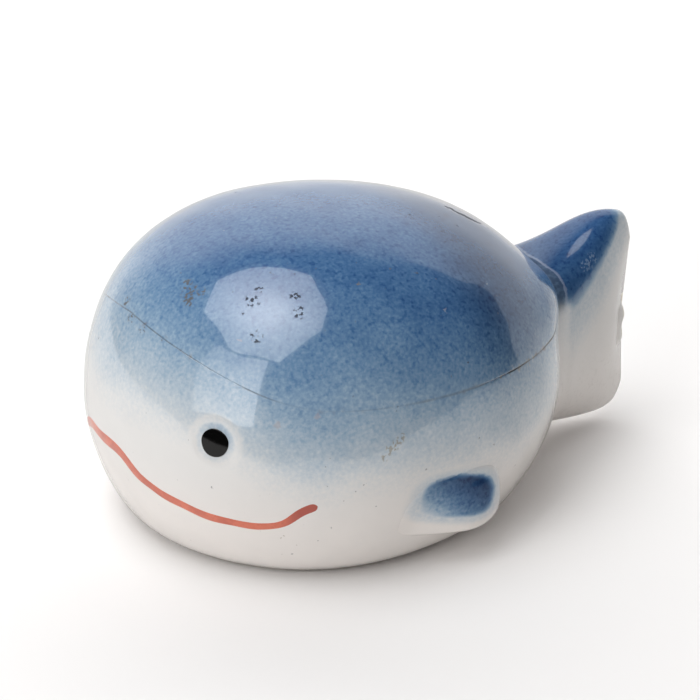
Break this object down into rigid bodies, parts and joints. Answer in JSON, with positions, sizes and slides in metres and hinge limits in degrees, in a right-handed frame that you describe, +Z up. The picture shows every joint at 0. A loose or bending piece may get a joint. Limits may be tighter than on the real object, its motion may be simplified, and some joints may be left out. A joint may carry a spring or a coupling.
{
  "type": "whale figurine",
  "caption": "Small glazed porcelain whale with a round hollow body, upright wedge tail, low side flippers, black eyes and a red smiling mouth line, resting on a flat base.",
  "frame": {"origin": "on the ground under the middle of the overall length, on the plane of symmetry", "axes": "+X towards the nose, +Y towards the whale's left side, +Z up"},
  "size_m": [0.086, 0.0638, 0.044],
  "materials": {
    "blue_glaze": "gloss",
    "white_glaze": "gloss",
    "black_enamel": "gloss",
    "red_enamel": "gloss"
  },
  "bodies": {
    "root": {"upper_shell": "blue_glaze", "lower_shell": "white_glaze", "tail": "white_glaze", "left_flipper": "white_glaze", "right_flipper": "white_glaze", "left_eye": "black_enamel", "right_eye": "black_enamel", "mouth_line": "red_enamel"}
  },
  "joints": []
}
